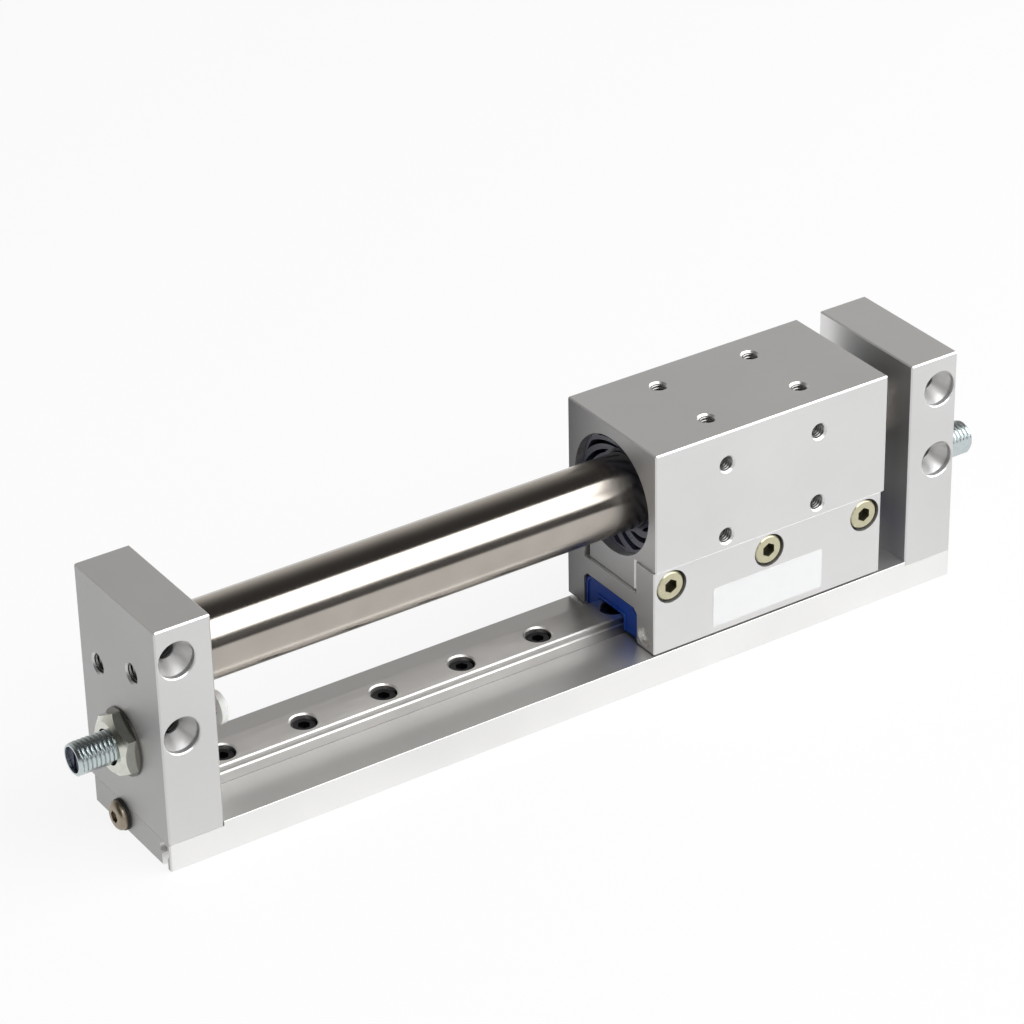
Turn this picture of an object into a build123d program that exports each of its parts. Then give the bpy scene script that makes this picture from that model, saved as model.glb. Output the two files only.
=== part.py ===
"""Magnetically coupled rodless pneumatic cylinder with a guided carriage.

Millimetres. The origin is the centre of the base plate's underside. +X runs along the tube
towards the end that the carriage is parked at, -Y is the front and +Z is up.
"""
import os
from math import cos, radians, sin

from build123d import *

# Whole unit
stroke = 100.0
rest_gap = 1.2            # what is left of the stroke at the parked end
contact_gap = 0.1         # air between carriage and buffer at each end of the stroke
edge_break = 0.3
seam_break = 0.02

# Fits
thread_clearance = 0.04
running_clearance = 0.05
slip_clearance = 0.1

# Fasteners
m3_radius = 1.5
m3_head_radius = 2.75
m3_head_height = 3.0
m3_low_head_height = 2.0
m3_socket_flats = 2.5
m4_radius = 2.0
m4_head_radius = 3.5
m4_head_height = 4.0
m4_counterbore_radius = 4.0
m4_socket_flats = 3.0
socket_share = 0.55       # depth of a hex socket as a share of its head
head_break = 0.35
head_sink = 0.25
tip_gap = 0.25            # room left under the tip of a screw

# Base plate
base_thickness = 7.7
base_top_break = 0.05
base_rear_inset = 1.2
plate_seat_depth = 1.1
rail_groove_depth = 1.0
sensor_groove_radius = 1.9
sensor_groove_inset = 2.35
sensor_groove_height = 4.4
sensor_slot_width = 2.4
passage_radius = 1.4
passage_y = 3.2
passage_height = 3.6
base_hole_inset = 27.5
base_hole_spacing = 19.0
base_hole_radius = 1.65
base_hole_depth = 5.0

# End plates
plate_thickness = 13.0
plate_side_reach = 0.05   # how far an end plate stands out beside the carriage
plate_foot_break = 0.12
socket_depth = 5.0
socket_clearance = 0.03
side_hole_inset = 4.8
side_hole_spacing = 18.0
side_hole_radius = 2.15
side_cone_radius = 4.2
side_cone_depth = 5.2
side_cone_lip = 1.4       # straight depth before the cone narrows
side_cone_break = 0.25
port_radius = 2.1
port_countersink = 0.5
blind_port_depth = 4.6
chamber_port_y = -5.6
chamber_port_rise = 1.8
passage_port_y = 9.4
passage_port_rise = -3.6
o_ring_section = 1.5
o_ring_inset = 2.2
o_ring_clearance = 0.03
plate_screw_spacing = 17.0
plate_screw_length = 11.0

# Plugs of the air passage
plug_radius = 2.5
plug_length = 2.7
plug_head_radius = 3.3
plug_head_height = 1.5
plug_head_round = 1.2
plug_socket_flats = 2.5
gasket_radius = 3.5
gasket_thickness = 0.7

# Cylinder tube
tube_radius = 8.65
tube_wall = 0.65
bumper_radius = 3.6
bumper_thickness = 2.4

# Guide rail
rail_width = 9.0
rail_height = 5.5
rail_end_gap = 0.5
rail_hole_pitch = 20.0
rail_hole_margin = 8.0
rail_hole_break = 0.35
rail_groove_clearance = 0.05
rail_screw_sink = 0.9
rail_screw_length = 6.0
raceway_radius = 0.75
raceway_depth = 0.5
raceway_drop = 1.5

# Guide blocks on the rail
guide_width = 20.0
guide_height = 10.0
guide_foot_gap = 2.0
guide_gap = 1.5
guide_end_inset = 0.55
guide_clearance = 0.15
guide_chamfer = 1.6
guide_cap_length = 4.2
guide_cap_inset = 0.15
guide_cap_clearance = 0.4
guide_seal_thickness = 1.0
guide_screw_spacing_x = 10.0
guide_screw_spacing_y = 13.5
guide_screw_length = 4.6

# Carriage
bore_radius = 14.0
block_side_wall = 2.7
block_top_wall = 3.0
bore_seam_dip = 1.8       # how far the bore dips below the seam, into the tongue
tongue_width = 18.0
tongue_depth = 7.85
tongue_gap = 0.15         # under the tongue
tongue_side_gap = 1.0
tongue_end_break = 0.5
saddle_shortfall = 0.4    # how much shorter the saddle is than the slide block
saddle_shift = -0.7
saddle_base_gap = 0.3
saddle_web = 4.1
saddle_side_gap = 0.2
saddle_channel_chamfer = 1.2
saddle_screw_inset = 4.7
saddle_screw_drop = 4.5
saddle_screw_length = 11.0
tapped_radius = 1.65
tapped_depth = 4.4
tapped_countersink = 0.5
pattern_length = 25.0
pattern_width = 18.0
sensor_magnet_radius = 2.25
sensor_magnet_length = 6.0
sensor_magnet_recess = 0.8
sensor_magnet_wall = 0.45  # between a magnet and the channel of the guide blocks
sensor_magnet_rise = 3.2

# Magnetic coupling
magnet_count = 4
magnet_length = 6.0
yoke_length = 3.0
outer_ring_gap = 0.6
inner_ring_gap = 0.4
holder_length = 3.5
wear_ring_thickness = 1.2
end_ring_recess = 2.0
end_ring_length = 6.5
end_ring_rim = 0.6
end_ring_collar = 0.9
end_ring_floor = 1.8
end_ring_dish = 2.0       # how far the collar is set back from the rim
vane_count = 12
vane_width = 3.3          # measured round the tube
vane_start = 5.0
vane_sweep = -55.0        # degrees that a vane turns from collar to rim
vane_bow = 0.5            # share of that turn reached halfway out

# Piston
shaft_radius = 2.5
piston_head_length = 8.0
piston_seal_width = 2.4
piston_seal_depth = 1.6
piston_band_width = 2.2
piston_band_depth = 0.9
piston_groove_spacing = 4.0
piston_nut_flats = 8.0
piston_nut_height = 3.0

# Stops
left_stop_reach = 5.0     # how far a stop's body stands out of its plate's inner face
right_stop_reach = 0.3
stop_axis_rise = 2.55
stop_radius = 4.0
stop_length = 30.2
stop_flat_distance = 3.4
left_stop_flat_angle = 225.0
right_stop_flat_angle = 190.0
stop_end_break = 0.7
stop_recess_radius = 2.9
stop_recess_depth = 1.6
stop_plug_inset = 0.7
stop_slot_width = 1.1
stop_slot_depth = 0.5
stop_nose_length = 4.0
stop_cylinder_radius = 2.7
stop_cylinder_gap = 0.2
stop_piston_length = 3.0
stop_rod_radius = 1.4
stop_travel = 3.0
stop_travel_gap = 0.2
buffer_radius = 3.7
buffer_length = 1.8
buffer_round = 0.6
nut_flats = 13.0
nut_thickness = 3.4
nut_turn = 30.0
nut_face_inset = 0.9      # how far the round outer face lies inside the flats
nut_chamfer = 1.6         # depth of that face's cone at the corners
washer_radius = 7.6
washer_thickness = 0.5

# Lengths along X
stack_length = magnet_count * magnet_length + (magnet_count + 1) * yoke_length
block_length = stack_length + 2 * (holder_length + end_ring_length + end_ring_recess)
saddle_length = block_length - saddle_shortfall
guide_length = (saddle_length - guide_gap) / 2 - guide_end_inset
carriage_left_reach = max(block_length / 2, saddle_length / 2 - saddle_shift)
carriage_right_reach = max(block_length / 2, saddle_length / 2 + saddle_shift)
stop_nose = stop_travel + stop_travel_gap + buffer_length
inner_length = (left_stop_reach + right_stop_reach + 2 * (stop_nose + contact_gap)
                + carriage_left_reach + carriage_right_reach + stroke)
unit_length = inner_length + 2 * plate_thickness
plate_inner = inner_length / 2
plate_outer = unit_length / 2
tube_end = plate_inner + socket_depth
rail_length = inner_length - 2 * rail_end_gap
rail_hole_count = int((rail_length - 2 * rail_hole_margin) // rail_hole_pitch) + 1
carriage_x = (plate_inner - right_stop_reach - stop_nose - contact_gap - rest_gap
              - carriage_right_reach)
saddle_x = carriage_x + saddle_shift
left_stop_x = -plate_inner + left_stop_reach
right_stop_x = plate_inner - right_stop_reach

# Heights
tube_over_seam = bore_radius - bore_seam_dip
plate_seat = base_thickness - plate_seat_depth
rail_floor = base_thickness - rail_groove_depth
rail_top = rail_floor + rail_height
rail_screw_seat = rail_top - rail_screw_sink - m3_head_height
guide_bottom = rail_floor + guide_foot_gap
guide_top = rail_floor + guide_height
saddle_bottom = base_thickness + saddle_base_gap
web_top = guide_top + saddle_web
tongue_bottom = web_top + tongue_gap
seam_height = tongue_bottom + tongue_depth
tube_axis = seam_height + tube_over_seam
stop_axis = tongue_bottom + stop_axis_rise
unit_height = tube_axis + bore_radius + block_top_wall

# Widths
carriage_side = bore_radius + block_side_wall
plate_side = carriage_side + plate_side_reach
base_rear = plate_side - base_rear_inset
guide_side = guide_width / 2 + saddle_side_gap
sensor_magnet_y = -(guide_side + sensor_magnet_wall + sensor_magnet_radius)
tube_bore = tube_radius - tube_wall


def box(x0, x1, y0, y1, z0, z1):
    """A block between two corners."""
    return Pos((x0 + x1) / 2, (y0 + y1) / 2, (z0 + z1) / 2) * Box(x1 - x0, y1 - y0, z1 - z0)


def along_x(profile, x0, x1):
    """A profile drawn in Y and Z, extruded from x0 to x1."""
    return extrude(Plane.YZ.offset(x0) * profile, amount=x1 - x0)


def along_y(profile, y0, y1):
    """A profile drawn in X and Z, extruded from y0 to y1."""
    return extrude(Plane.XZ.offset(-y1) * profile, amount=y1 - y0)


def along_z(profile, z0, z1):
    """A profile drawn in X and Y, extruded from z0 to z1."""
    return extrude(Plane.XY.offset(z0) * profile, amount=z1 - z0)


def disc_x(radius, x0, x1, y=0.0, z=0.0):
    return along_x(Pos(y, z) * Circle(radius), x0, x1)


def ring_x(outer, inner, x0, x1):
    return along_x(Circle(outer) - Circle(inner), x0, x1)


def hexagon(flats):
    """A hexagon by its width across flats."""
    return RegularPolygon(flats / 2, 6, major_radius=False)


def broken(solid, size, keep):
    """The solid with a chamfer on each edge whose middle passes the test."""
    return chamfer(solid.edges().filter_by(lambda edge: keep(edge @ 0.5)), size)


def on_seat(head_bottom, direction):
    """A plane at a screw's seat, with the head on its +Z side along the given direction."""
    return Plane(origin=head_bottom, z_dir=direction)


def socket_screw(radius, length, head_radius, head_height, socket_flats):
    """A cap screw with its seat at the origin, its head above and its thread below."""
    head = along_z(Circle(head_radius), 0, head_height)
    head = chamfer(head.edges().group_by(Axis.Z)[-1], head_break)
    socket = along_z(hexagon(socket_flats), head_height * (1 - socket_share), head_height)
    return head + along_z(Circle(radius), -length, 0) - socket


def countersunk_hole(radius, depth, countersink):
    """A drill for a tapped hole that starts at the origin and runs down."""
    mouth = Cone(radius, radius + 2 * countersink, 2 * countersink)
    return along_z(Circle(radius), -depth, countersink) + mouth


def rail_places():
    first = -(rail_hole_count - 1) * rail_hole_pitch / 2
    return [first + i * rail_hole_pitch for i in range(rail_hole_count)]


def saddle_screw_places():
    reach = saddle_length / 2 - saddle_screw_inset
    return [saddle_x + offset for offset in (-reach, 0, reach)]


def guide_centres():
    offset = (guide_length + guide_gap) / 2
    return {"left": saddle_x - offset, "right": saddle_x + offset}


def guide_screw_places():
    return [(x + dx * guide_screw_spacing_x / 2, dy * guide_screw_spacing_y / 2)
            for x in guide_centres().values() for dx in (-1, 1) for dy in (-1, 1)]


def plate_screw_places():
    x = plate_inner + plate_thickness / 2
    return [(side * x, y * plate_screw_spacing / 2) for side in (-1, 1) for y in (-1, 1)]


# Frame


def base_plate():
    """The plate under everything, with a lowered seat for each end plate."""
    lower = box(-plate_outer, plate_outer, -plate_side, base_rear, 0, plate_seat)
    lower = broken(lower, edge_break, lambda p: p.Z < plate_seat - edge_break)
    upper = box(-plate_inner, plate_inner, -plate_side, base_rear, plate_seat, base_thickness)
    upper = broken(upper, base_top_break, lambda p: p.Z > base_thickness - base_top_break and abs(p.X) < 1)
    body = lower + upper
    rail_side = rail_width / 2 + rail_groove_clearance
    body -= box(-plate_inner, plate_inner, -rail_side, rail_side, rail_floor, base_thickness)
    groove_y = -plate_side + sensor_groove_inset
    groove = Pos(groove_y, sensor_groove_height) * Circle(sensor_groove_radius)
    slot = Pos(groove_y, sensor_groove_height / 2) * Rectangle(sensor_slot_width, sensor_groove_height)
    body -= along_x(groove + slot, -plate_outer, plate_outer)
    body -= disc_x(passage_radius, -plate_outer, plate_outer, passage_y, passage_height)
    plug_hole = plug_radius + thread_clearance
    for x0 in (-plate_outer, plate_outer - plug_length - tip_gap / 2):
        body -= disc_x(plug_hole, x0, x0 + plug_length + tip_gap / 2, passage_y, passage_height)
    for x in rail_places():
        tip = rail_screw_seat - rail_screw_length - tip_gap
        body -= Pos(x, 0) * along_z(Circle(m3_radius + thread_clearance), tip, rail_floor)
    for x, y in plate_screw_places():
        body -= Pos(x, y) * along_z(Circle(m4_counterbore_radius), 0, m4_head_height + head_sink)
        body -= Pos(x, y) * along_z(Circle(m4_radius + slip_clearance), 0, plate_seat)
    for x in (-plate_outer + base_hole_inset, plate_outer - base_hole_inset):
        for y in (-base_hole_spacing / 2, base_hole_spacing / 2):
            body -= Pos(x, y) * along_z(Circle(base_hole_radius), 0, base_hole_depth)
    return body


def left_end_plate():
    """The plate that holds the tube, a stop, the ports and the side mounting holes."""
    body = box(-plate_outer, -plate_inner, -plate_side, plate_side, plate_seat, unit_height)
    body = broken(body, edge_break, lambda p: p.Z > plate_seat + plate_foot_break)
    body = broken(body, plate_foot_break, lambda p: p.Z < plate_seat + plate_foot_break)
    body -= disc_x(tube_radius + socket_clearance, -tube_end, -plate_inner, 0, tube_axis)
    gland = o_ring_section + 2 * o_ring_clearance
    ring_x0 = -plate_inner - o_ring_inset - gland / 2
    body -= disc_x(tube_radius + gland, ring_x0, ring_x0 + gland, 0, tube_axis)
    body -= disc_x(stop_radius + thread_clearance, -plate_outer, -plate_inner, 0, stop_axis)
    x = -plate_outer + side_hole_inset
    for z in (tube_axis - side_hole_spacing / 2, tube_axis + side_hole_spacing / 2):
        body -= along_y(Pos(x, z) * Circle(side_hole_radius), -plate_side, plate_side)
        body -= Pos(x, -plate_side, z) * Rot(X=90) * side_cone()
    for y, rise, depth in ((chamber_port_y, chamber_port_rise, plate_thickness - socket_depth),
                           (passage_port_y, passage_port_rise, blind_port_depth)):
        drill = countersunk_hole(port_radius, depth, port_countersink)
        body -= Plane(origin=(-plate_outer, y, tube_axis + rise), z_dir=(-1, 0, 0)) * drill
    for x, y in plate_screw_places():
        if x < 0:
            top = m4_head_height + head_sink + plate_screw_length + tip_gap
            body -= Pos(x, y) * along_z(Circle(m4_radius + thread_clearance), plate_seat, top)
    return body


def side_cone():
    """The conical seat at the front of a side mounting hole, with its mouth at the origin."""
    points = [(0, 0), (side_cone_radius + side_cone_break, 0), (side_cone_radius, -side_cone_break),
              (side_cone_radius, -side_cone_lip), (side_hole_radius, -side_cone_depth),
              (0, -side_cone_depth)]
    return revolve(Plane.XZ * make_face(Polyline(*points, close=True)), Axis.Z)


def cylinder_tube():
    return Pos(0, 0, tube_axis) * ring_x(tube_radius, tube_bore, -tube_end + slip_clearance,
                                         tube_end - slip_clearance)


def tube_o_rings():
    ring = Torus(tube_radius + o_ring_clearance + o_ring_section / 2, o_ring_section / 2)
    x = plate_inner + o_ring_inset
    return [Pos(side * x, 0, tube_axis) * Rot(Y=90) * ring for side in (-1, 1)]


def tube_bumpers():
    """Rubber discs at the bottom of each socket that the piston's end meets."""
    disc = disc_x(bumper_radius, -tube_end, -tube_end + bumper_thickness, 0, tube_axis)
    return [disc, mirror(disc, about=Plane.YZ)]


def plate_screws():
    screw = socket_screw(m4_radius, plate_screw_length, m4_head_radius, m4_head_height, m4_socket_flats)
    return [on_seat((x, y, m4_head_height + head_sink), (0, 0, -1)) * screw
            for x, y in plate_screw_places()]


def passage_plug():
    """The screw plug at the left end of the air passage, with its domed head."""
    seat = -plate_outer - gasket_thickness
    head = disc_x(plug_head_radius, seat - plug_head_height, seat)
    head = fillet(head.edges().group_by(Axis.X)[0], plug_head_round)
    socket = along_x(hexagon(plug_socket_flats), seat - plug_head_height,
                     seat - plug_head_height * (1 - socket_share))
    plug = head + disc_x(plug_radius, seat, -plate_outer + plug_length) - socket
    return Pos(0, passage_y, passage_height) * plug


def plug_gasket():
    ring = ring_x(gasket_radius, plug_radius + running_clearance, -plate_outer - gasket_thickness,
                  -plate_outer)
    return Pos(0, passage_y, passage_height) * ring


# Guide


def guide_rail():
    """The ground rail with a raceway along each side and counterbored screw holes."""
    profile = Pos(0, (rail_floor + rail_top) / 2) * Rectangle(rail_width, rail_height)
    profile = chamfer(profile.vertices().group_by(Axis.Y)[-1], edge_break)
    for side in (-1, 1):
        profile -= raceway(side, raceway_radius)
    rail = along_x(profile, -rail_length / 2, rail_length / 2)
    counterbore = countersunk_hole(m3_head_radius + head_sink, rail_top - rail_screw_seat, rail_hole_break)
    for x in rail_places():
        rail -= Pos(x, 0, rail_top) * counterbore
        rail -= Pos(x, 0) * along_z(Circle(m3_radius + slip_clearance), rail_floor, rail_screw_seat)
    return rail


def raceway(side, radius):
    """The round of one raceway, drawn in Y and Z."""
    y = side * (rail_width / 2 + raceway_radius - raceway_depth)
    return Pos(y, rail_top - raceway_drop) * Circle(radius)


def rail_screws():
    screw = socket_screw(m3_radius, rail_screw_length, m3_head_radius, m3_head_height, m3_socket_flats)
    return [Pos(x, 0, rail_screw_seat) * screw for x in rail_places()]


def guide_profile(width, bottom, top, clearance):
    """The arch of a guide piece over the rail, drawn in Y and Z."""
    arch = Pos(0, (bottom + top) / 2) * Rectangle(width, top - bottom)
    arch = chamfer(arch.vertices().group_by(Axis.Y)[-1], guide_chamfer)
    channel_top = rail_top + clearance
    channel = Pos(0, (bottom + channel_top) / 2) * Rectangle(rail_width + 2 * clearance,
                                                           channel_top - bottom)
    return arch - channel


def guide_body(centre):
    """The steel body of a guide block, with a ridge that runs in each raceway."""
    profile = guide_profile(guide_width, guide_bottom, guide_top, guide_clearance)
    for side in (-1, 1):
        profile += raceway(side, raceway_radius - guide_clearance)
    half = guide_length / 2 - guide_cap_length - guide_seal_thickness
    body = along_x(profile, centre - half, centre + half)
    depth = guide_screw_length - (saddle_web - m3_low_head_height - tip_gap) + tip_gap
    for x, y in guide_screw_places():
        if abs(x - centre) < half:
            body -= Pos(x, y) * along_z(Circle(m3_radius + thread_clearance), guide_top - depth, guide_top)
    return body


def guide_end_pieces(x_of_near, x_of_far, clearance):
    """The same end piece at both ends of both guide blocks."""
    profile = guide_profile(guide_width - 2 * guide_cap_inset, guide_bottom, guide_top - guide_cap_inset,
                            clearance)
    pieces = []
    for centre in guide_centres().values():
        pieces.append(along_x(profile, centre + x_of_near, centre + x_of_far))
        pieces.append(along_x(profile, centre - x_of_far, centre - x_of_near))
    return pieces


def guide_end_caps():
    far = guide_length / 2 - guide_seal_thickness
    return guide_end_pieces(far - guide_cap_length, far, guide_cap_clearance)


def guide_end_seals():
    return guide_end_pieces(guide_length / 2 - guide_seal_thickness, guide_length / 2, guide_clearance)


# Carriage


def slide_block():
    """The upper block: bored for the outer magnets, with a tongue that sits in the saddle."""
    x0 = carriage_x - block_length / 2
    x1 = carriage_x + block_length / 2
    body = box(x0, x1, -carriage_side, carriage_side, seam_height, unit_height)
    body = broken(body, edge_break, lambda p: p.Z > seam_height + seam_break)
    body = broken(body, seam_break, lambda p: p.Z < seam_height + seam_break)
    tongue = box(x0, x1, -tongue_width / 2, tongue_width / 2, tongue_bottom, seam_height + seam_break)
    tongue = broken(tongue, tongue_end_break, lambda p: tongue_bottom + edge_break < p.Z < seam_height)
    body += broken(tongue, edge_break, lambda p: p.Z < tongue_bottom + edge_break)
    body -= disc_x(bore_radius, x0, x1, 0, tube_axis)
    drill = countersunk_hole(tapped_radius, tapped_depth, tapped_countersink)
    for dx in (-pattern_length / 2, pattern_length / 2):
        for offset in (-pattern_width / 2, pattern_width / 2):
            body -= Pos(carriage_x + dx, offset, unit_height) * drill
            front = Plane(origin=(carriage_x + dx, -carriage_side, tube_axis + offset), z_dir=(0, -1, 0))
            body -= front * drill
    z = seam_height - saddle_screw_drop
    tip = -carriage_side + head_sink + m4_head_height + saddle_screw_length + tip_gap
    for x in saddle_screw_places():
        body -= along_y(Pos(x, z) * Circle(m4_radius + thread_clearance), -tongue_width / 2, tip)
    return body


def guide_saddle():
    """The lower block: it straddles the guide blocks and takes the slide block's tongue."""
    x0 = saddle_x - saddle_length / 2
    x1 = saddle_x + saddle_length / 2
    body = box(x0, x1, -carriage_side, carriage_side, saddle_bottom, seam_height)
    body = broken(body, edge_break, lambda p: p.Z < seam_height - seam_break)
    body = broken(body, seam_break, lambda p: p.Z > seam_height - seam_break)
    channel_side = tongue_width / 2 + tongue_side_gap
    body -= box(x0, x1, -channel_side, channel_side, web_top, seam_height)
    slot = Pos(0, (saddle_bottom + guide_top) / 2) * Rectangle(2 * guide_side, guide_top - saddle_bottom)
    slot = chamfer(slot.vertices().group_by(Axis.Y)[-1], saddle_channel_chamfer)
    body -= along_x(slot, x0, x1)
    z = seam_height - saddle_screw_drop
    seat = -carriage_side + head_sink + m4_head_height
    for x in saddle_screw_places():
        body -= along_y(Pos(x, z) * Circle(m4_counterbore_radius), -carriage_side, seat)
        body -= along_y(Pos(x, z) * Circle(m4_radius + slip_clearance), seat, -channel_side)
    seat = web_top - m3_low_head_height - tip_gap
    for x, y in guide_screw_places():
        body -= Pos(x, y) * along_z(Circle(m3_head_radius + slip_clearance), seat, web_top)
        body -= Pos(x, y) * along_z(Circle(m3_radius + slip_clearance), guide_top, seat)
    for x, inward in ((x0, 1), (x1, -1)):
        end = x + inward * (sensor_magnet_recess + sensor_magnet_length)
        pocket = disc_x(sensor_magnet_radius + running_clearance, min(x, end), max(x, end))
        body -= Pos(0, sensor_magnet_y, saddle_bottom + sensor_magnet_rise) * pocket
    return body


def saddle_screws():
    screw = socket_screw(m4_radius, saddle_screw_length, m4_head_radius, m4_head_height, m4_socket_flats)
    seat = -carriage_side + head_sink + m4_head_height
    return [on_seat((x, seat, seam_height - saddle_screw_drop), (0, -1, 0)) * screw
            for x in saddle_screw_places()]


def guide_screws():
    screw = socket_screw(m3_radius, guide_screw_length, m3_head_radius, m3_low_head_height, m3_socket_flats)
    return [Pos(x, y, web_top - m3_low_head_height - tip_gap) * screw for x, y in guide_screw_places()]


def sensor_magnets():
    """The round magnets that a switch in the base's groove reads, one at each saddle end."""
    z = saddle_bottom + sensor_magnet_rise
    near = saddle_length / 2 - sensor_magnet_recess
    magnet = disc_x(sensor_magnet_radius, -near, -near + sensor_magnet_length)
    return [Pos(saddle_x, sensor_magnet_y, z) * piece
            for piece in (magnet, mirror(magnet, about=Plane.YZ))]


# Magnetic coupling, drawn about the tube's axis with the carriage's centre at the origin


def in_carriage(shape):
    return Pos(carriage_x, 0, tube_axis) * shape


def stack_rings(outer, inner, magnets):
    """The magnet rings of a stack, or the yoke rings on both sides of each of them."""
    pitch = magnet_length + yoke_length
    count = magnet_count if magnets else magnet_count + 1
    length = magnet_length if magnets else yoke_length
    first = -stack_length / 2 + (yoke_length if magnets else 0)
    return [in_carriage(ring_x(outer, inner, first + i * pitch, first + i * pitch + length))
            for i in range(count)]


def both_ends(shape):
    return [in_carriage(shape), in_carriage(mirror(shape, about=Plane.YZ))]


def wear_ring_holders():
    inner = tube_radius + running_clearance + wear_ring_thickness
    return both_ends(ring_x(bore_radius - running_clearance, inner, stack_length / 2,
                            stack_length / 2 + holder_length))


def wear_rings():
    inner = tube_radius + running_clearance
    return both_ends(ring_x(inner + wear_ring_thickness - running_clearance / 2, inner, stack_length / 2,
                            stack_length / 2 + holder_length))


def vane_profile(inner, outer):
    """One curved vane of an end ring, drawn in Y and Z from the collar out to the rim."""
    def point(radius, share, side):
        angle = radians(vane_start + vane_sweep * share) + side * vane_width / radius / 2
        return (radius * cos(angle), radius * sin(angle))

    middle = (inner + outer) / 2
    edges = [[point(inner, 0, side), point(middle, vane_bow, side), point(outer, 1, side)]
             for side in (-1, 1)]
    outline = ThreePointArc(*edges[0]) + Line(edges[0][2], edges[1][2])
    outline += ThreePointArc(*reversed(edges[1])) + Line(edges[1][0], edges[0][0])
    return make_face(outline)


def end_ring():
    """The moulded ring in the right mouth of the bore: a rim and a collar joined by vanes.

    Its face is dished: it slopes from the rim back to the collar.
    """
    outer = bore_radius - running_clearance
    inner = tube_radius + slip_clearance
    x1 = block_length / 2 - end_ring_recess
    x0 = x1 - end_ring_length
    ring = ring_x(outer, outer - end_ring_rim, x0, x1)
    ring += ring_x(inner + end_ring_collar, inner, x0, x1)
    ring += ring_x(outer, inner, x0, x0 + end_ring_floor)
    vane = along_x(vane_profile(inner + end_ring_collar / 2, outer - end_ring_rim / 2), x0, x1)
    for i in range(vane_count):
        ring += Rot(X=i * 360 / vane_count) * vane
    dish = Polyline((x1, outer), (x1 - end_ring_dish, inner), (x1, inner), close=True)
    return ring - revolve(make_face(dish), Axis.X)


# Piston


def piston_head():
    """The right-hand head, grooved for a seal and a wear band."""
    x0 = stack_length / 2
    head = ring_x(tube_bore - inner_ring_gap, shaft_radius + running_clearance, x0, x0 + piston_head_length)
    for x, width, depth in piston_grooves():
        head -= ring_x(tube_bore, tube_bore - inner_ring_gap - depth, x - width / 2, x + width / 2)
    return head


def piston_grooves():
    """Middle, width and depth of the seal's groove and the wear band's groove."""
    middle = stack_length / 2 + piston_head_length / 2
    return ((middle + piston_groove_spacing / 2, piston_seal_width, piston_seal_depth),
            (middle - piston_groove_spacing / 2, piston_band_width, piston_band_depth))


def piston_groove_ring(index):
    x, width, depth = piston_grooves()[index]
    half = width / 2 - running_clearance
    return ring_x(tube_bore - running_clearance, tube_bore - inner_ring_gap - depth + running_clearance,
                  x - half, x + half)


def piston_shaft():
    reach = stack_length / 2 + piston_head_length + piston_nut_height
    return in_carriage(disc_x(shaft_radius, -reach, reach))


def piston_nut():
    x0 = stack_length / 2 + piston_head_length
    return along_x(hexagon(piston_nut_flats) - Circle(shaft_radius + thread_clearance), x0,
                   x0 + piston_nut_height)


# Stops, drawn about their own axis with the body's inner end at the origin and +X inwards


def stop_cylinder_length():
    return stop_piston_length + stop_travel + 2 * stop_cylinder_gap


def stop_body(flat_angle):
    """The threaded body with two wrench flats, hollow for its rod and its end plug."""
    body = disc_x(stop_radius, -stop_length, 0)
    body = chamfer(body.edges().filter_by(GeomType.CIRCLE), stop_end_break)
    waste = Rectangle(2 * stop_radius, 3 * stop_radius)
    for side in (1, -1):
        beside = Pos(side * (stop_flat_distance + stop_radius), 0) * waste
        body -= Rot(X=flat_angle) * along_x(beside, -stop_length, 0)
    body -= disc_x(stop_recess_radius, -stop_length, -stop_length + stop_recess_depth)
    body -= disc_x(stop_rod_radius + running_clearance, -stop_nose_length, 0)
    body -= disc_x(stop_cylinder_radius, -stop_nose_length - stop_cylinder_length(), -stop_nose_length)
    return body


def stop_end_plug():
    x0 = -stop_length + stop_plug_inset
    plug = disc_x(stop_recess_radius - running_clearance, x0, -stop_length + stop_recess_depth)
    return plug - box(x0, x0 + stop_slot_depth, -stop_slot_width / 2, stop_slot_width / 2,
                      -stop_recess_radius, stop_recess_radius)


def stop_rod():
    """The rod with its damping piston, fully out."""
    front = -stop_nose_length - stop_cylinder_gap
    rod = disc_x(stop_cylinder_radius - slip_clearance, front - stop_piston_length, front)
    return rod + disc_x(stop_rod_radius, front, stop_travel + stop_travel_gap)


def stop_buffer():
    x0 = stop_travel + stop_travel_gap
    buffer = disc_x(buffer_radius, x0, x0 + buffer_length)
    return fillet(buffer.edges().group_by(Axis.X)[-1], buffer_round)


def lock_nut(stop_x):
    """The chamfered nut on the outside of the left plate, for a stop whose inner end is at stop_x."""
    x1 = -plate_outer - washer_thickness - stop_x
    x0 = x1 - nut_thickness
    nut = along_x(Rot(Z=nut_turn) * hexagon(nut_flats), x0, x1)
    corner = nut_flats / 2 / cos(radians(30))
    face = nut_flats / 2 - nut_face_inset
    cone = make_face(Polyline((x0, 0), (x0, face), (x0 + nut_chamfer, corner), (x1, corner), (x1, 0),
                              close=True))
    return (nut & revolve(cone, Axis.X)) - disc_x(stop_radius + thread_clearance, x0, x1)


def lock_washer(stop_x):
    x1 = -plate_outer - stop_x
    return ring_x(washer_radius, stop_radius + slip_clearance, x1 - washer_thickness, x1)


def at_stops(make_piece):
    """A stop's piece on the left, and its mirror image on the right."""
    left = Pos(left_stop_x, 0, stop_axis) * make_piece(left_stop_x)
    right = Pos(-right_stop_x, 0, stop_axis) * make_piece(-right_stop_x)
    return [left, mirror(right, about=Plane.YZ)]


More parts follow.
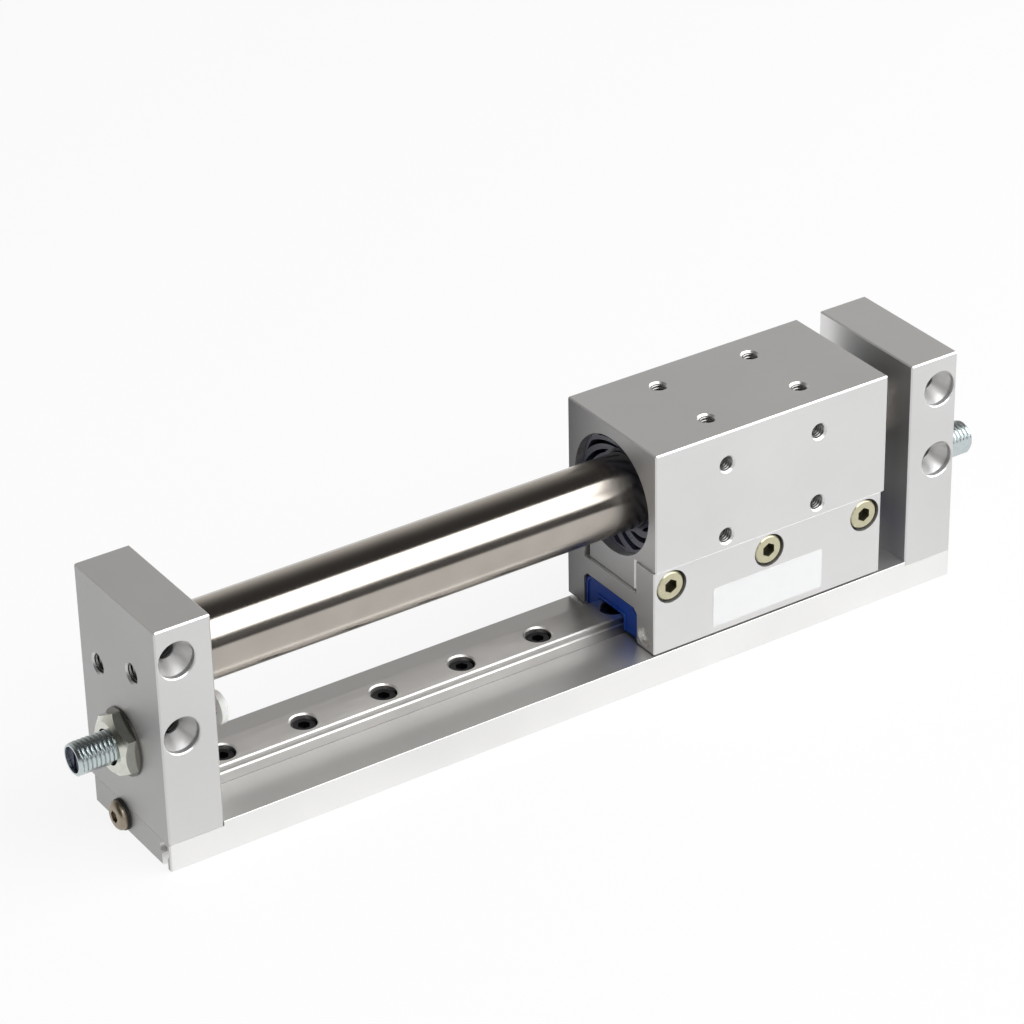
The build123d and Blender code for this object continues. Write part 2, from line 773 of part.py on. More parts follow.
def build():
    """Every node by name, as one solid or as a list of solids."""
    nodes = {
        "base_plate": base_plate(),
        "left_end_plate": left_end_plate(),
        "right_end_plate": mirror(left_end_plate(), about=Plane.YZ),
        "plate_screws": plate_screws(),
        "passage_plugs": [passage_plug(), mirror(passage_plug(), about=Plane.YZ)],
        "plug_gaskets": [plug_gasket(), mirror(plug_gasket(), about=Plane.YZ)],
        "cylinder_tube": cylinder_tube(),
        "tube_o_rings": tube_o_rings(),
        "tube_bumpers": tube_bumpers(),
        "guide_rail": guide_rail(),
        "rail_screws": rail_screws(),
        "guide_end_caps": guide_end_caps(),
        "guide_end_seals": guide_end_seals(),
        "guide_screws": guide_screws(),
        "slide_block": slide_block(),
        "guide_saddle": guide_saddle(),
        "saddle_screws": saddle_screws(),
        "sensor_magnets": sensor_magnets(),
        "outer_magnets": stack_rings(bore_radius - running_clearance, tube_radius + outer_ring_gap, True),
        "outer_yokes": stack_rings(bore_radius - running_clearance, tube_radius + outer_ring_gap, False),
        "wear_ring_holders": wear_ring_holders(),
        "wear_rings": wear_rings(),
        "piston_shaft": piston_shaft(),
        "inner_magnets": stack_rings(tube_bore - inner_ring_gap, shaft_radius + running_clearance, True),
        "inner_yokes": stack_rings(tube_bore - inner_ring_gap, shaft_radius + running_clearance, False),
        "piston_heads": both_ends(piston_head()),
        "piston_seals": both_ends(piston_groove_ring(0)),
        "piston_wear_bands": both_ends(piston_groove_ring(1)),
        "piston_nuts": both_ends(piston_nut()),
        "stop_end_plugs": at_stops(lambda x: stop_end_plug()),
        "lock_nuts": at_stops(lock_nut),
        "lock_washers": at_stops(lock_washer),
    }
    for side, centre in guide_centres().items():
        nodes[side + "_guide_block"] = guide_body(centre)
    nodes.update(zip(("right_end_ring", "left_end_ring"), both_ends(end_ring())))
    nodes["left_stop_body"] = at_stops(lambda x: stop_body(left_stop_flat_angle))[0]
    nodes["right_stop_body"] = at_stops(lambda x: stop_body(right_stop_flat_angle))[1]
    nodes.update(zip(("left_stop_rod", "right_stop_rod"), at_stops(lambda x: stop_rod())))
    nodes.update(zip(("left_buffer", "right_buffer"), at_stops(lambda x: stop_buffer())))
    return nodes


os.makedirs("parts", exist_ok=True)
for name, shape in build().items():
    if isinstance(shape, list):
        shape = Compound(children=[solid for piece in shape for solid in piece.solids()])
    export_step(shape, f"parts/{name}.step")
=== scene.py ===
"""Looks of a magnetically coupled rodless pneumatic cylinder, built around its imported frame.

Sizes are written in millimetres in the part's own frame (+X along the tube, -Y the front, +Z up)
and scaled to metres when a mesh is made.
"""
from math import cos, pi, radians, sin

import bmesh
import bpy
from mathutils import Matrix, Vector


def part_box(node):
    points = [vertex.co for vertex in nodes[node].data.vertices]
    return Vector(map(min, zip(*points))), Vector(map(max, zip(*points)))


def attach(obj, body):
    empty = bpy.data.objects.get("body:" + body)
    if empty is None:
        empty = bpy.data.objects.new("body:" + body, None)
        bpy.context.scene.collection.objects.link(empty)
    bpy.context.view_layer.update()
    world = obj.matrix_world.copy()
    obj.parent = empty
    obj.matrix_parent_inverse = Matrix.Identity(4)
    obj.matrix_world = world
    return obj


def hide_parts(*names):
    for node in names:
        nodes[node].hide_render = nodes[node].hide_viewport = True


MM = 0.001

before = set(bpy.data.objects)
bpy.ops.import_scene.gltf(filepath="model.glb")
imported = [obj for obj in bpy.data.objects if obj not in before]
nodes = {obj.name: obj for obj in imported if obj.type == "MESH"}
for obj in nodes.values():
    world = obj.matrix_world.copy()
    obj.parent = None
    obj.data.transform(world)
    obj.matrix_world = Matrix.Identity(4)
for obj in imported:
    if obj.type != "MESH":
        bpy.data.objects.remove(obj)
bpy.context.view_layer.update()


def node_box(name):
    """A node's lowest and highest corner in millimetres."""
    low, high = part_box(name)
    return Vector(low) / MM, Vector(high) / MM


# Materials


class Shader:
    """A Principled material whose patterns follow the object and are sized in millimetres."""

    def __init__(self, name, color, roughness, metallic=0.0, **sockets):
        self.material = bpy.data.materials.new(name)
        self.material.use_nodes = True
        self.tree = self.material.node_tree
        self.bsdf = self.tree.nodes["Principled BSDF"]
        self.color = color
        self.height = None
        self.set("Base Color", (*color, 1))
        self.set("Roughness", roughness)
        self.set("Metallic", metallic)
        for socket, value in sockets.items():
            self.set(socket.replace("_", " "), value)
        coordinates = self.add("ShaderNodeTexCoord")
        self.place = coordinates.outputs["Object"]
        self.normal = coordinates.outputs["Normal"]

    def set(self, socket, value):
        self.bsdf.inputs[socket].default_value = value

    def add(self, kind, **settings):
        node = self.tree.nodes.new(kind)
        for key, value in settings.items():
            setattr(node, key, value)
        return node

    def link(self, source, target):
        self.tree.links.new(source, target)

    def noise(self, per_mm, detail=3.0, stretch=(1, 1, 1)):
        """A noise value with so many grains per millimetre, fewer along a stretched axis."""
        mapping = self.add("ShaderNodeMapping")
        mapping.inputs["Scale"].default_value = [per_mm / MM / s for s in stretch]
        self.link(self.place, mapping.inputs["Vector"])
        noise = self.add("ShaderNodeTexNoise")
        noise.inputs["Scale"].default_value = 1.0
        noise.inputs["Detail"].default_value = detail
        self.link(mapping.outputs["Vector"], noise.inputs["Vector"])
        return noise.outputs["Fac"]

    def spread(self, value, low, high, source=(0.3, 0.7)):
        """The value mapped to the range from low to high."""
        node = self.add("ShaderNodeMapRange")
        for socket, number in zip(("From Min", "From Max", "To Min", "To Max"), (*source, low, high)):
            node.inputs[socket].default_value = number
        self.link(value, node.inputs["Value"])
        return node.outputs["Result"]

    def tint(self, value, dark, light=1.0):
        """The base colour, scaled between dark and light by the value."""
        node = self.add("ShaderNodeMix", data_type="RGBA")
        node.inputs["A"].default_value = (*[c * dark for c in self.color], 1)
        node.inputs["B"].default_value = (*[min(1, c * light) for c in self.color], 1)
        self.link(self.spread(value, 0, 1), node.inputs["Factor"])
        self.link(node.outputs["Result"], self.bsdf.inputs["Base Color"])
        return self

    def gloss(self, value, low, high):
        self.link(self.spread(value, low, high), self.bsdf.inputs["Roughness"])
        return self

    def faces_along(self, axis):
        """1 on faces that look along an axis, either way, and 0 on the others."""
        parts = self.add("ShaderNodeSeparateXYZ")
        self.link(self.normal, parts.inputs["Vector"])
        size = self.add("ShaderNodeMath", operation="ABSOLUTE")
        self.link(parts.outputs[axis], size.inputs[0])
        return self.spread(size.outputs["Value"], 0, 1, (0.6, 0.9))

    def between(self, axis, start, end, first=0.0, last=1.0):
        """The first value up to the start and the last from the end, in millimetres along an axis."""
        parts = self.add("ShaderNodeSeparateXYZ")
        self.link(self.place, parts.inputs["Vector"])
        return self.spread(parts.outputs[axis], first, last, (start * MM, end * MM))

    def paint_shade(self, share, shade, rougher):
        """Painted shade or painted light: the colour times a shade, and a rougher finish, where the share
        is 1.
        """
        color = self.bsdf.inputs["Base Color"].links[0].from_socket
        mix = self.add("ShaderNodeMix", data_type="RGBA", blend_type="MULTIPLY")
        if isinstance(shade, float):
            mix.inputs["B"].default_value = (shade, shade, shade, 1)
        else:
            self.link(shade, mix.inputs["B"])
        self.link(share, mix.inputs["Factor"])
        self.link(color, mix.inputs["A"])
        self.link(mix.outputs["Result"], self.bsdf.inputs["Base Color"])
        roughness = self.bsdf.inputs["Roughness"].links[0].from_socket
        more = self.add("ShaderNodeMath", operation="MULTIPLY_ADD")
        more.inputs[1].default_value = rougher
        self.link(share, more.inputs[0])
        self.link(roughness, more.inputs[2])
        self.link(more.outputs["Value"], self.bsdf.inputs["Roughness"])
        return self

    def bump(self, value, depth_mm, strength=1.0):
        """A relief of so many millimetres, on top of one that is already there."""
        node = self.add("ShaderNodeBump")
        node.inputs["Distance"].default_value = depth_mm * MM
        node.inputs["Strength"].default_value = strength
        self.link(value, node.inputs["Height"])
        if self.height:
            self.link(self.height, node.inputs["Normal"])
        self.height = node.outputs["Normal"]
        self.link(self.height, self.bsdf.inputs["Normal"])
        return self


def anodised(name, color, roughness, painted_end_shade, painted_side_shade):
    """Blasted and clear anodised aluminium, with machining lines along X.

    The sawn ends are rougher. The ends and the front and rear sides get painted shade and painted light:
    the shade of the ends is one number, or the width it is painted over and the painted shades at their
    front and rear.
    """
    shader = Shader(name, color, roughness, metallic=0.9)
    lines = shader.noise(2.2, 4, (60, 1, 1))
    blast = shader.noise(5.0, 2)
    cloud = shader.noise(0.035, 3)
    shader.tint(cloud, 0.965, 1.02)
    shader.gloss(lines, roughness - 0.015, roughness + 0.03)
    if isinstance(painted_end_shade, tuple):
        width, front, rear = painted_end_shade
        painted_end_shade = shader.between("Y", -width / 2, width / 2, front, rear)
    # Painted shade on the ends, and painted shade or painted light on the front and rear sides.
    shader.paint_shade(shader.faces_along("X"), painted_end_shade, 0.14)
    shader.paint_shade(shader.faces_along("Y"), painted_side_shade, 0.0)
    shader.bump(blast, 0.006, 0.35).bump(lines, 0.006, 0.15)
    return shader.material


def steel(name, color, roughness, grain=0.0):
    """Steel with fine tool or grinding marks along X."""
    shader = Shader(name, color, roughness, 1.0)
    marks = shader.noise(3.5, 4, (40, 1, 1))
    shader.tint(shader.noise(0.12, 2), 0.93, 1.04)
    shader.gloss(marks, max(0.03, roughness - 0.05), roughness + 0.06)
    if grain:
        shader.bump(marks, grain)
    return shader.material


def brushed(name, color, roughness, around, painted_side_shade=1.0):
    """Steel whose fine marks run round the X axis or along it, and smear what it mirrors across them."""
    shader = Shader(name, color, roughness, 1.0, Anisotropic=0.9,
                    Anisotropic_Rotation=0.25 if around else 0.0)
    tangent = shader.add("ShaderNodeTangent", direction_type="RADIAL", axis="X")
    shader.link(tangent.outputs["Tangent"], shader.bsdf.inputs["Tangent"])
    shader.tint(shader.noise(0.12, 2), 0.94, 1.03)
    marks = shader.noise(3.0, 3, (0.2, 1, 1) if around else (40, 1, 1))
    shader.gloss(marks, roughness - 0.03, roughness + 0.04)
    # Painted shade on the front and rear sides.
    shader.paint_shade(shader.faces_along("Y"), painted_side_shade, 0.0)
    return shader.material


def plastic(name, color, roughness, pebble=0.01, uneven=0.1, **sockets):
    """Moulded plastic or rubber with a fine pebble and slight uneven shine."""
    shader = Shader(name, color, roughness, **sockets)
    pebbles = shader.noise(6.0, 2)
    shader.tint(shader.noise(0.25, 3), 1 - uneven, 1 + uneven)
    shader.gloss(shader.noise(1.2, 2), roughness - 0.05, roughness + 0.07)
    shader.bump(pebbles, pebble, 0.5)
    return shader.material


def plated(name, color, roughness, face=None):
    """A plated finish, slightly cloudy. Where heads face the front, painted shade darkens them just
    behind their faces, in the sockets and on the sides.
    """
    shader = Shader(name, color, roughness, 1.0)
    shader.tint(shader.noise(0.6, 1), 0.95, 1.04)
    shader.gloss(shader.noise(0.5, 1), roughness - 0.01, roughness + 0.03)
    if face is not None:
        # Painted shade in the sockets and just behind the heads' faces.
        shader.paint_shade(shader.between("Y", face + 0.1, face + 0.6), 0.3, 0.2)
    return shader.material


saddle_screw_face = node_box("saddle_screws")[0].y

# The last two numbers paint shade and light onto the ends and the front and rear sides: the block's ends
# darken from front to rear, the right plate's ends lighten towards the rear, the base's front is
# lightened.
left_plate_metal = anodised("satin_left_plate", (0.78, 0.775, 0.77), 0.36, 0.6, 0.85)
right_plate_metal = anodised("satin_right_plate", (0.80, 0.795, 0.79), 0.36, (24.0, 0.6, 1.15), 0.84)
block_metal = anodised("satin_block", (0.80, 0.795, 0.79), 0.36, (33.4, 0.72, 0.17), 0.88)
base_metal = anodised("milled_base", (0.84, 0.835, 0.825), 0.33, 0.52, 1.02)
# The rail's front and rear sides get painted shade.
rail_metal = brushed("ground_rail", (0.80, 0.785, 0.765), 0.34, False, 0.4)
guide_metal = steel("ground_guide", (0.62, 0.61, 0.59), 0.28, 0.004)
tube_metal = brushed("polished_tube", (0.44, 0.405, 0.365), 0.21, True)
zinc_metal = plated("zinc_plate", (0.54, 0.60, 0.61), 0.27)
nut_metal = plated("zinc_nut", (0.62, 0.63, 0.57), 0.19)
black_metal = steel("black_oxide", (0.07, 0.07, 0.075), 0.33, 0.003)
washer_metal = steel("dark_washer", (0.16, 0.15, 0.14), 0.4, 0.003)
gold_metal = plated("yellow_passivate", (0.57, 0.54, 0.38), 0.27, saddle_screw_face)
bronze_metal = steel("bronze_plate", (0.34, 0.29, 0.225), 0.34, 0.004)
nickel_metal = steel("nickel_plate", (0.72, 0.71, 0.68), 0.25)
iron_metal = steel("yoke_iron", (0.42, 0.41, 0.40), 0.38, 0.004)
# Painted shade: the threads in the holes are much darker than the metal they are cut in, and those in the
# deep side holes nearly black.
shaded_hole_metal = steel("tapped_hole_shade", (0.30, 0.295, 0.285), 0.35, 0.003)
deep_shaded_hole_metal = steel("deep_hole_shade", (0.10, 0.098, 0.095), 0.4, 0.003)
navy_plastic = plastic("navy_moulding", (0.022, 0.028, 0.075), 0.42)
ring_plastic = plastic("end_ring_moulding", (0.05, 0.055, 0.095), 0.3)
blue_plastic = plastic("blue_seal", (0.004, 0.045, 0.30), 0.55, Specular_IOR_Level=0.3)
white_plastic = plastic("white_moulding", (0.72, 0.72, 0.70), 0.38, Subsurface_Weight=0.1)
dark_plastic = plastic("dark_moulding", (0.03, 0.032, 0.04), 0.45)
black_rubber = plastic("black_rubber", (0.018, 0.018, 0.018), 0.6)
label_film = plastic("label_film", (0.71, 0.715, 0.72), 0.34, 0.001, 0.01)

for name, material in {
    "base_plate": base_metal, "left_end_plate": left_plate_metal, "right_end_plate": right_plate_metal,
    "cylinder_tube": tube_metal, "tube_o_rings": black_rubber, "tube_bumpers": black_rubber,
    "guide_rail": rail_metal, "rail_screws": black_metal, "plate_screws": black_metal,
    "passage_plugs": bronze_metal, "plug_gaskets": black_rubber,
    "left_stop_body": zinc_metal, "right_stop_body": zinc_metal, "stop_end_plugs": navy_plastic,
    "lock_nuts": nut_metal, "lock_washers": washer_metal,
    "slide_block": block_metal, "guide_saddle": block_metal, "saddle_screws": gold_metal,
    "left_guide_block": guide_metal, "right_guide_block": guide_metal,
    "guide_end_caps": dark_plastic, "guide_end_seals": blue_plastic, "guide_screws": black_metal,
    "sensor_magnets": nickel_metal, "outer_magnets": nickel_metal, "outer_yokes": iron_metal,
    "wear_ring_holders": guide_metal, "wear_rings": white_plastic,
    "left_end_ring": ring_plastic, "right_end_ring": ring_plastic,
    "piston_shaft": zinc_metal, "inner_magnets": nickel_metal, "inner_yokes": iron_metal,
    "piston_heads": guide_metal, "piston_seals": black_rubber, "piston_wear_bands": white_plastic,
    "piston_nuts": zinc_metal, "left_stop_rod": zinc_metal, "right_stop_rod": zinc_metal,
    "left_buffer": white_plastic, "right_buffer": white_plastic,
}.items():
    if not nodes[name].material_slots:
        nodes[name].data.materials.append(material)
    for slot in nodes[name].material_slots:
        slot.material = material


# Pieces


def add_mesh(name, points, faces, material, body, sharp=30.0):
    """An object from points in millimetres, carried by a body of the frame."""
    mesh = bpy.data.meshes.new(name)
    mesh.from_pydata([Vector(point) * MM for point in points], [], faces)
    mesh.shade_smooth()
    mesh.set_sharp_from_angle(angle=radians(sharp))
    mesh.materials.append(material)
    piece = bpy.data.objects.new(name, mesh)
    bpy.context.scene.collection.objects.link(piece)
    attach(piece, body)
    return piece


def skin(rings, capped):
    """Points and faces of a skin over rings that have the same number of points."""
    count = len(rings[0])
    points = [point for ring in rings for point in ring]
    faces = [(i * count + j, i * count + (j + 1) % count, (i + 1) * count + (j + 1) % count,
              (i + 1) * count + j) for i in range(len(rings) - 1) for j in range(count)]
    if capped:
        faces.append(tuple(reversed(range(count))))
        faces.append(tuple(range(len(points) - count, len(points))))
    return points, faces


def thread_rise(along, turn, pitch):
    """How far a right-hand thread stands up at a place along its axis and a turn: 0 root, 1 crest."""
    return 0.5 + 0.5 * cos(2 * pi * (along / pitch - turn))


def steps(start, end, pace):
    """Places from start to end, about a pace apart."""
    count = max(1, round(abs(end - start) / pace))
    return [start + (end - start) * i / count for i in range(count + 1)]


# Stop bodies

stop_radius = 4.0
stop_root = 3.68
stop_pitch = 1.0
stop_break = 0.7
stop_recess = (2.9, 1.6)
stop_bore = (1.45, 4.0)
stop_flat = 3.4
stop_flat_angles = {"left_stop_body": 225.0, "right_stop_body": 190.0}
stop_sides = 96
stop_tip = 0.05           # radius of the small ring that closes the recess and the bore
thread_pace = 0.1         # between rings along a thread that shows
hidden_pace = 2.0         # between rings where it is covered
hidden_overlap = 1.0      # how far the thread runs on below the nut and the plate
hidden_rest = 0.5         # of thread at the inner end, where the plate covers the whole of it


def stop_rings(length, hidden, flat_angle):
    """Rings of a stop body from its recess to its rod bore, with the outer end at 0.

    Between the two places that hidden gives, the nut and the plate cover the thread, and it is left out.
    """
    angles = [2 * pi * j / stop_sides for j in range(stop_sides)]

    def ring(x, radius_at):
        return [(x, radius_at(a) * cos(a), radius_at(a) * sin(a)) for a in angles]

    def plain(x, radius):
        return ring(x, lambda a: radius)

    def outer(x):
        end_limit = stop_radius - stop_break + min(x, length - x)

        def radius_at(a):
            radius = stop_root + (stop_radius - stop_root) * thread_rise(x, a / (2 * pi), stop_pitch)
            return min(radius, end_limit, stop_flat / max(abs(cos(a - radians(flat_angle))), 0.01))

        return ring(x, radius_at)

    recess, depth = stop_recess
    bore, bore_depth = stop_bore
    start, end = hidden
    places = steps(0, start, thread_pace)
    places += steps(start + hidden_pace / 2, end - hidden_pace / 2, hidden_pace)
    places += steps(end, length, thread_pace)
    rings = [plain(depth, stop_tip), plain(depth, recess), plain(0, recess)]
    rings += [outer(x) for x in places]
    bottom = length - bore_depth
    return rings + [plain(length, bore), plain(bottom, bore), plain(bottom, stop_tip)]


def build_stop_bodies():
    """The threaded stop bodies in place of their plain solids. The right one is the left one reversed."""
    nut_end = node_box("lock_nuts")[0].x
    plate_face = node_box("left_end_plate")[1].x
    for side, node in ((-1, "left_stop_body"), (1, "right_stop_body")):
        low, high = node_box(node)
        middle = (low + high) / 2
        length = high.x - low.x
        outer_end = low.x if side < 0 else -high.x
        hidden = (nut_end + hidden_overlap - outer_end,
                  min(plate_face - hidden_overlap - outer_end, length - hidden_rest))
        flat_angle = stop_flat_angles[node] if side < 0 else 180 - stop_flat_angles[node]
        rings = stop_rings(length, hidden, flat_angle)
        rings = [[(-side * (outer_end + x), middle.y - side * y, middle.z + z) for x, y, z in ring]
                 for ring in rings]
        points, faces = skin(rings, True)
        piece = add_mesh(f"threaded_{node}", points, faces, zinc_metal, "frame",
                         sharp=25)
        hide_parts(node)


# Threads in the tapped holes

hole_sides = 32
hole_thread_height = 0.24
hole_thread_start = 0.35  # below the mouth
hole_thread_fade = 0.3    # over which the thread rises to its full height
hole_thread_end = 0.1     # above the bottom
hole_wall_gap = 0.015
rings_per_pitch = 8


def line_hole(name, mouth, inward, radius, depth, pitch, body, material=shaded_hole_metal):
    """A thread just inside the wall of a drilled hole, from below its countersink to its bottom."""
    inward = Vector(inward)
    across = Vector((0, 0, 1)) if abs(inward.z) < 0.5 else Vector((1, 0, 0))
    beside = inward.cross(across)
    rings = []
    for along in steps(hole_thread_start, depth - hole_thread_end, pitch / rings_per_pitch):
        fade = min(1.0, (along - hole_thread_start) / hole_thread_fade)
        ring = []
        for j in range(hole_sides):
            a = -2 * pi * j / hole_sides
            rise = hole_thread_height * fade * thread_rise(along, -a / (2 * pi), pitch)
            r = radius - hole_wall_gap - rise
            ring.append(Vector(mouth) + inward * along + across * r * cos(a) + beside * r * sin(a))
        rings.append(ring)
    points, faces = skin(rings, False)
    add_mesh(name, points, faces, material, body, sharp=60)


# A threaded hole's radius, depth and pitch
tapped = (1.65, 4.4, 0.7)
port = (2.1, 8.0, 0.8)
blind_port = (2.1, 4.6, 0.8)
side_hole = (2.15, 28.0, 0.8)

pattern = (25.0, 18.0)
port_places = ((-5.6, 1.8, port), (9.4, -3.6, blind_port))
side_hole_inset = 4.8
side_hole_drop = 5.2
side_hole_spacing = 18.0


def build_hole_threads():
    """M4 threads in the carriage, M5 threads in the air ports and behind the conical seats."""
    low, high = node_box("slide_block")
    tube_low, tube_high = node_box("cylinder_tube")
    x = (low.x + high.x) / 2
    tube_axis = (tube_low.z + tube_high.z) / 2
    for i, dx in enumerate((-pattern[0] / 2, pattern[0] / 2)):
        for j, offset in enumerate((-pattern[1] / 2, pattern[1] / 2)):
            line_hole(f"top_thread_{i}{j}", (x + dx, offset, high.z), (0, 0, -1), *tapped, "carriage")
            line_hole(f"front_thread_{i}{j}", (x + dx, low.y, tube_axis + offset), (0, 1, 0), *tapped,
                      "carriage")
    for side, node in ((-1, "left_end_plate"), (1, "right_end_plate")):
        low, high = node_box(node)
        outer = low.x if side < 0 else high.x
        for i, (y, rise, size) in enumerate(port_places):
            line_hole(f"{node}_port_{i}", (outer, y, tube_axis + rise), (-side, 0, 0), *size, "frame")
        for i, rise in enumerate((-side_hole_spacing / 2, side_hole_spacing / 2)):
            mouth = (outer - side * side_hole_inset, low.y + side_hole_drop, tube_axis + rise)
            line_hole(f"{node}_side_{i}", mouth, (0, 1, 0), *side_hole, "frame", deep_shaded_hole_metal)


# Flat pieces


def rounded_outline(width, height, radius):
    """A rectangle about the origin with round corners, as points anticlockwise."""
    points = []
    for quarter, (cx, cy) in enumerate(((1, 1), (-1, 1), (-1, -1), (1, -1))):
        for a in steps(quarter * 90, quarter * 90 + 90, 15):
            points.append((cx * (width / 2 - radius) + radius * cos(radians(a)),
                           cy * (height / 2 - radius) + radius * sin(radians(a))))
    return points


def prism(name, outline, place, thickness, material, body, soft=0.0):
    """An outline extruded by its thickness, with rims as soft as asked.

    The place turns a point of the outline and a height above it into a point of the part.
    """
    count = len(outline)
    points = [place(u, v, 0) for u, v in outline] + [place(u, v, thickness) for u, v in outline]
    faces = [tuple(reversed(range(count))), tuple(range(count, 2 * count))]
    faces += [(j, (j + 1) % count, count + (j + 1) % count, count + j) for j in range(count)]
    piece = add_mesh(name, points, faces, material, body)
    shape = bmesh.new()
    shape.from_mesh(piece.data)
    bmesh.ops.recalc_face_normals(shape, faces=shape.faces)
    if soft:
        rim = [edge for edge in shape.edges if edge.calc_face_angle(0) > radians(30)]
        bmesh.ops.bevel(shape, geom=rim, offset=soft * MM, segments=2, affect="EDGES")
    shape.to_mesh(piece.data)
    shape.free()


label_size = (30.0, 9.8)
label_radius = 0.5
label_thickness = 0.06
label_shift = -1.0        # from the carriage's centre along X
label_height = 14.75


def build_label():
    """The bare film on the front of the saddle."""
    low, high = node_box("guide_saddle")
    block_low, block_high = node_box("slide_block")
    x = (block_low.x + block_high.x) / 2 + label_shift
    prism("label", rounded_outline(*label_size, label_radius),
          lambda u, v, w: (x + u, low.y - w, label_height + v), label_thickness, label_film,
          "carriage")


seal_lip = 0.8
seal_rim = 0.64
seal_lip_height = 0.3
seal_slant = 1.6          # cut off the upper corners
seal_inset = 0.15         # of the lip from the rail and of the rim from the outline
seal_softness = 0.1


def build_seal_relief():
    """Raised rims on the outer faces of the two end seals that show, along the rail and the outline."""
    low, high = node_box("guide_end_seals")
    rail_low, rail_high = node_box("guide_rail")

    def around_rail(gap):
        side, top = rail_high.y + gap, rail_high.z + gap
        return [(side, low.z), (side, top), (-side, top), (-side, low.z)]

    def along_outline(inset, slant):
        side, top = high.y - inset, high.z - inset
        return [(side, low.z), (side, top - slant), (side - slant, top), (slant - side, top),
                (-side, top - slant), (-side, low.z)]

    lip = around_rail(seal_inset + seal_lip)
    inner = around_rail(seal_inset)
    edge = along_outline(seal_inset, seal_slant)
    within = along_outline(seal_inset + seal_rim, seal_slant - seal_rim / 2)
    for facing, x in ((-1, low.x), (1, high.x)):
        for name, loop, back in (("lip", lip, inner), ("rim", edge, within)):
            prism(f"seal_{name}_{'left' if facing < 0 else 'right'}", loop + back[::-1],
                  lambda y, z, w: (x + facing * w, y, z), seal_lip_height, blue_plastic, "carriage",
                  seal_softness)


build_stop_bodies()
build_hole_threads()
build_label()
build_seal_relief()


# Stage

floor_reach = 6.0         # metres
floor_drop = 0.00005      # metres below the part
floor_color = (0.86, 0.86, 0.86, 1)
floor_glow = 0.88         # share of plain white in what the camera and mirrors see of the floor


def combined(tree, operation, first, second):
    """The result of a maths node on a socket and another socket or a number."""
    node = tree.nodes.new("ShaderNodeMath")
    node.operation = operation
    tree.links.new(first, node.inputs[0])
    if isinstance(second, float):
        node.inputs[1].default_value = second
    else:
        tree.links.new(second, node.inputs[1])
    return node.outputs["Value"]


def build_floor():
    """A pale floor that shows nearly white and keeps the part's shadow."""
    mesh = bpy.data.meshes.new("floor")
    corners_out = ((-1, -1), (1, -1), (1, 1), (-1, 1))
    mesh.from_pydata([(x * floor_reach, y * floor_reach, 0) for x, y in corners_out], [], [(0, 1, 2, 3)])
    floor = bpy.data.objects.new("floor", mesh)
    floor.location.z = -floor_drop
    bpy.context.scene.collection.objects.link(floor)
    material = bpy.data.materials.new("floor_paper")
    material.use_nodes = True
    tree = material.node_tree
    tree.nodes.remove(tree.nodes["Principled BSDF"])
    paper = tree.nodes.new("ShaderNodeBsdfDiffuse")
    paper.inputs["Color"].default_value = floor_color
    glow = tree.nodes.new("ShaderNodeEmission")
    glow.inputs["Strength"].default_value = 1.0
    rays = tree.nodes.new("ShaderNodeLightPath")
    seen = rays.outputs["Is Camera Ray"]
    for kind in ("Is Glossy Ray", "Is Transmission Ray"):
        seen = combined(tree, "MAXIMUM", seen, rays.outputs[kind])
    mix = tree.nodes.new("ShaderNodeMixShader")
    tree.links.new(combined(tree, "MULTIPLY", seen, floor_glow), mix.inputs["Fac"])
    tree.links.new(paper.outputs["BSDF"], mix.inputs[1])
    tree.links.new(glow.outputs["Emission"], mix.inputs[2])
    tree.links.new(mix.outputs["Shader"], tree.nodes["Material Output"].inputs["Surface"])
    mesh.materials.append(material)


def build_lamp(name, direction, distance, size, strength):
    """A softbox that faces the part from the given direction."""
    lamp = bpy.data.lights.new(name, "AREA")
    lamp.shape = "RECTANGLE"
    lamp.size, lamp.size_y = size
    lamp.energy = strength
    holder = bpy.data.objects.new(name, lamp)
    away = Vector(direction).normalized()
    up = away.cross(Vector((1, 0, 0))).normalized()
    along = up.cross(away)
    holder.matrix_world = (Matrix.Translation(away * distance)
                           @ Matrix((along, up, away)).transposed().to_4x4())
    bpy.context.scene.collection.objects.link(holder)


room_dark = (0.058, 0.056, 0.055)
room_back = (0.74, 0.725, 0.70)
room_rear = (0.2, 0.6)    # from none of the back to all of it, towards the rear
room_height = (0.85, 0.1) # the same, downwards


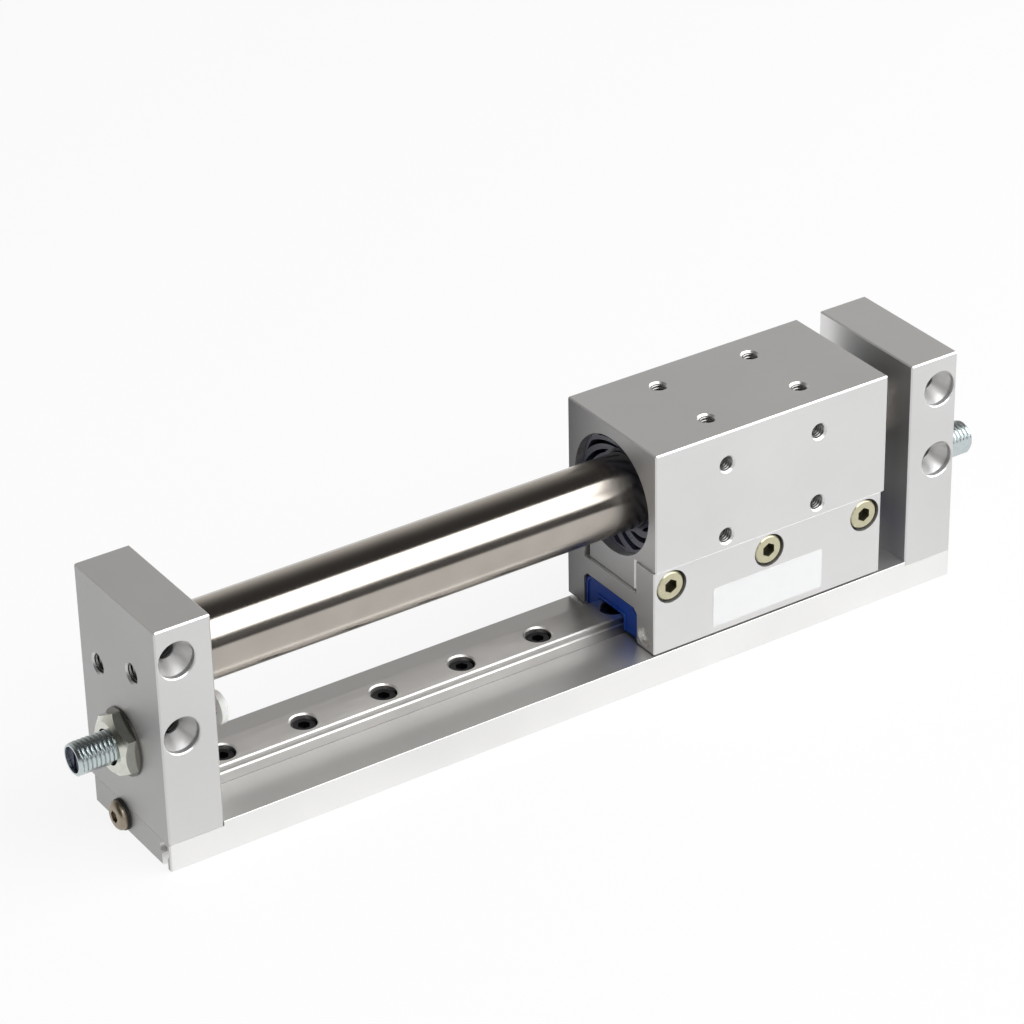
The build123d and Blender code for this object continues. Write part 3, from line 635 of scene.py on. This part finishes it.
def build_world():
    """A dark room that is grey low down behind the part, for what the metal reflects."""
    world = bpy.data.worlds.new("studio")
    bpy.context.scene.world = world
    world.use_nodes = True
    tree = world.node_tree
    background = tree.nodes["Background"]
    place = tree.nodes.new("ShaderNodeTexCoord")
    split = tree.nodes.new("ShaderNodeSeparateXYZ")
    tree.links.new(place.outputs["Generated"], split.inputs["Vector"])

    def ramp(axis, start, end):
        node = tree.nodes.new("ShaderNodeMapRange")
        node.interpolation_type = "SMOOTHSTEP"
        node.inputs["From Min"].default_value = start
        node.inputs["From Max"].default_value = end
        tree.links.new(split.outputs[axis], node.inputs["Value"])
        return node.outputs["Result"]

    share = combined(tree, "MULTIPLY", ramp("Y", *room_rear), ramp("Z", *room_height))
    mix = tree.nodes.new("ShaderNodeMix")
    mix.data_type = "RGBA"
    mix.inputs["A"].default_value = (*room_dark, 1)
    mix.inputs["B"].default_value = (*room_back, 1)
    tree.links.new(share, mix.inputs["Factor"])
    tree.links.new(mix.outputs["Result"], background.inputs["Color"])
    background.inputs["Strength"].default_value = 1.0


camera_turn = (56.922, 30.26, -1.213)       # degrees from +X, down and rolled
camera_spot = (-403.19, -609.65, 469.89)
camera_lens = 137.99


def build_camera():
    """The photograph's camera, fitted to the part's measured edges."""
    azimuth, elevation, roll = (radians(angle) for angle in camera_turn)
    ahead = Vector((cos(elevation) * cos(azimuth), cos(elevation) * sin(azimuth), -sin(elevation)))
    right = ahead.cross(Vector((0, 0, 1))).normalized()
    up = right.cross(ahead)
    right, up = cos(roll) * right + sin(roll) * up, cos(roll) * up - sin(roll) * right
    data = bpy.data.cameras.new("camera")
    data.sensor_width = 36.0
    data.lens = camera_lens
    camera = bpy.data.objects.new("camera", data)
    camera.matrix_world = (Matrix.Translation(Vector(camera_spot) * MM)
                           @ Matrix((right, up, -ahead)).transposed().to_4x4())
    bpy.context.scene.collection.objects.link(camera)
    bpy.context.scene.camera = camera


build_floor()
build_world()
build_lamp("softbox", direction=(0.47, -0.508, 0.716), distance=1.2, size=(2.6, 1.05), strength=30.5)
build_lamp("front_fill", direction=(-0.35, -0.9, 0.28), distance=1.8, size=(1.4, 0.5), strength=4)
build_camera()
bpy.context.scene.view_settings.view_transform = "Standard"
